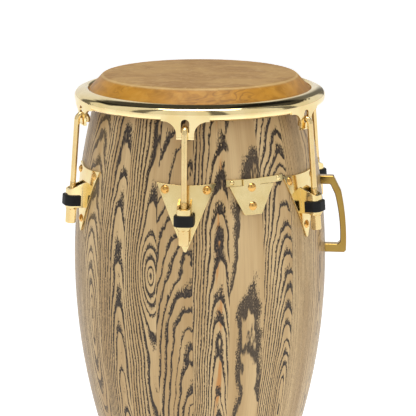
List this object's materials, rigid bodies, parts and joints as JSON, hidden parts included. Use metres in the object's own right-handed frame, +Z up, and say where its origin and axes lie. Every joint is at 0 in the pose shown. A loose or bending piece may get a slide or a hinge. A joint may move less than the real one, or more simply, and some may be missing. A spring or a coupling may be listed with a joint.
{
  "type": "conga drum",
  "caption": "Tall barrel-shaped hand drum of glued wood staves, its hide head pulled down by a rolled metal hoop on hooked tuning rods, with a carrying handle.",
  "frame": {"origin": "the drum's axis at the floor", "axes": "+Z up the drum's axis to the head; -Y is the front, with a lug about 6 degrees to its left and the handle to its right, near +X"},
  "size_m": [0.4329, 0.4422, 0.762],
  "materials": {
    "shell_wood": "gloss lacquered ash with dark-filled grain",
    "rawhide": "dried hide, matte on top and smoother on the collar",
    "gold_plate": "polished gold plating over pressed steel",
    "gold_rod": "polished gold plating over steel rod and nuts",
    "handle_gold": "gold plating, a little darker",
    "bumper_rubber": "satin black rubber",
    "plain_steel": "plain zinc-plated steel"
  },
  "bodies": {
    "shell": {"stave_01": "shell_wood", "stave_02": "shell_wood", "stave_03": "shell_wood", "stave_04": "shell_wood", "stave_05": "shell_wood", "stave_06": "shell_wood", "stave_07": "shell_wood", "stave_08": "shell_wood", "stave_09": "shell_wood", "stave_10": "shell_wood", "stave_11": "shell_wood", "stave_12": "shell_wood", "stave_13": "shell_wood", "stave_14": "shell_wood", "stave_15": "shell_wood", "stave_16": "shell_wood", "stave_17": "shell_wood", "stave_18": "shell_wood", "stave_19": "shell_wood", "stave_20": "shell_wood", "stave_21": "shell_wood", "stave_22": "shell_wood", "stave_23": "shell_wood", "head_membrane": "rawhide", "head_collar": "rawhide", "side_plate_1": "gold_plate", "side_plate_2": "gold_plate", "side_plate_3": "gold_plate", "side_plate_4": "gold_plate", "side_plate_5": "gold_plate", "side_plate_6": "gold_plate", "bumper_1": "bumper_rubber", "bumper_2": "bumper_rubber", "bumper_3": "bumper_rubber", "bumper_4": "bumper_rubber", "bumper_5": "bumper_rubber", "bumper_6": "bumper_rubber", "nut_washers": "gold_rod", "dome_bolts": "gold_rod", "backing_washers": "plain_steel", "backing_nuts": "plain_steel", "stand_plate": "gold_plate", "stand_strap": "gold_plate", "strap_screws": "gold_plate", "handle": "handle_gold", "handle_screws": "plain_steel"},
    "counterhoop": {"rim": "gold_plate", "flesh_hoop": "plain_steel"},
    "rod_1": {"tension_rod_1": "gold_rod"},
    "rod_2": {"tension_rod_2": "gold_rod"},
    "rod_3": {"tension_rod_3": "gold_rod"},
    "rod_4": {"tension_rod_4": "gold_rod"},
    "rod_5": {"tension_rod_5": "gold_rod"},
    "rod_6": {"tension_rod_6": "gold_rod"},
    "nut_1": {"tuning_nut_1": "gold_rod"},
    "nut_2": {"tuning_nut_2": "gold_rod"},
    "nut_3": {"tuning_nut_3": "gold_rod"},
    "nut_4": {"tuning_nut_4": "gold_rod"},
    "nut_5": {"tuning_nut_5": "gold_rod"},
    "nut_6": {"tuning_nut_6": "gold_rod"}
  },
  "joints": [
    {"name": "rim_slide", "type": "slide", "parent": "shell", "child": "counterhoop", "axis": [0, 0, 1], "range_m": [-0.006, 0.008], "deforming": ["head_collar"]},
    {"name": "rod_1_slide", "type": "slide", "parent": "shell", "child": "rod_1", "axis": [0.0103, 0.0944, 0.9955], "range_m": [-0.0062, 0.0082]},
    {"name": "rod_2_slide", "type": "slide", "parent": "shell", "child": "rod_2", "axis": [-0.0766, 0.0561, 0.9955], "range_m": [-0.0062, 0.0082]},
    {"name": "rod_3_slide", "type": "slide", "parent": "shell", "child": "rod_3", "axis": [-0.0869, -0.0383, 0.9955], "range_m": [-0.0062, 0.0082]},
    {"name": "rod_4_slide", "type": "slide", "parent": "shell", "child": "rod_4", "axis": [-0.0103, -0.0944, 0.9955], "range_m": [-0.0062, 0.0082]},
    {"name": "rod_5_slide", "type": "slide", "parent": "shell", "child": "rod_5", "axis": [0.0766, -0.0561, 0.9955], "range_m": [-0.0062, 0.0082]},
    {"name": "rod_6_slide", "type": "slide", "parent": "shell", "child": "rod_6", "axis": [0.0869, 0.0383, 0.9955], "range_m": [-0.0062, 0.0082]},
    {"name": "nut_1_turn", "type": "hinge", "parent": "shell", "child": "nut_1", "pos_m": [-0.02125, -0.19558, 0.705], "axis": [0.0103, 0.0944, 0.9955], "range_deg": [-1850, 1400]},
    {"name": "nut_2_turn", "type": "hinge", "parent": "shell", "child": "nut_2", "pos_m": [0.15875, -0.11619, 0.705], "axis": [-0.0766, 0.0561, 0.9955], "range_deg": [-1850, 1400]},
    {"name": "nut_3_turn", "type": "hinge", "parent": "shell", "child": "nut_3", "pos_m": [0.18, 0.07939, 0.705], "axis": [-0.0869, -0.0383, 0.9955], "range_deg": [-1850, 1400]},
    {"name": "nut_4_turn", "type": "hinge", "parent": "shell", "child": "nut_4", "pos_m": [0.02125, 0.19558, 0.705], "axis": [-0.0103, -0.0944, 0.9955], "range_deg": [-1850, 1400]},
    {"name": "nut_5_turn", "type": "hinge", "parent": "shell", "child": "nut_5", "pos_m": [-0.15875, 0.11619, 0.705], "axis": [0.0766, -0.0561, 0.9955], "range_deg": [-1850, 1400]},
    {"name": "nut_6_turn", "type": "hinge", "parent": "shell", "child": "nut_6", "pos_m": [-0.18, -0.07939, 0.705], "axis": [0.0869, 0.0383, 0.9955], "range_deg": [-1850, 1400]}
  ],
  "couplings": [
    {"joint": "rod_1_slide", "follows": "rim_slide", "ratio": 1.0045},
    {"joint": "rod_2_slide", "follows": "rim_slide", "ratio": 1.0045},
    {"joint": "rod_3_slide", "follows": "rim_slide", "ratio": 1.0045},
    {"joint": "rod_4_slide", "follows": "rim_slide", "ratio": 1.0045},
    {"joint": "rod_5_slide", "follows": "rim_slide", "ratio": 1.0045},
    {"joint": "rod_6_slide", "follows": "rim_slide", "ratio": 1.0045},
    {"joint": "nut_1_turn", "follows": "rim_slide", "rad_per_m": -3975.9},
    {"joint": "nut_2_turn", "follows": "rim_slide", "rad_per_m": -3975.9},
    {"joint": "nut_3_turn", "follows": "rim_slide", "rad_per_m": -3975.9},
    {"joint": "nut_4_turn", "follows": "rim_slide", "rad_per_m": -3975.9},
    {"joint": "nut_5_turn", "follows": "rim_slide", "rad_per_m": -3975.9},
    {"joint": "nut_6_turn", "follows": "rim_slide", "rad_per_m": -3975.9}
  ]
}
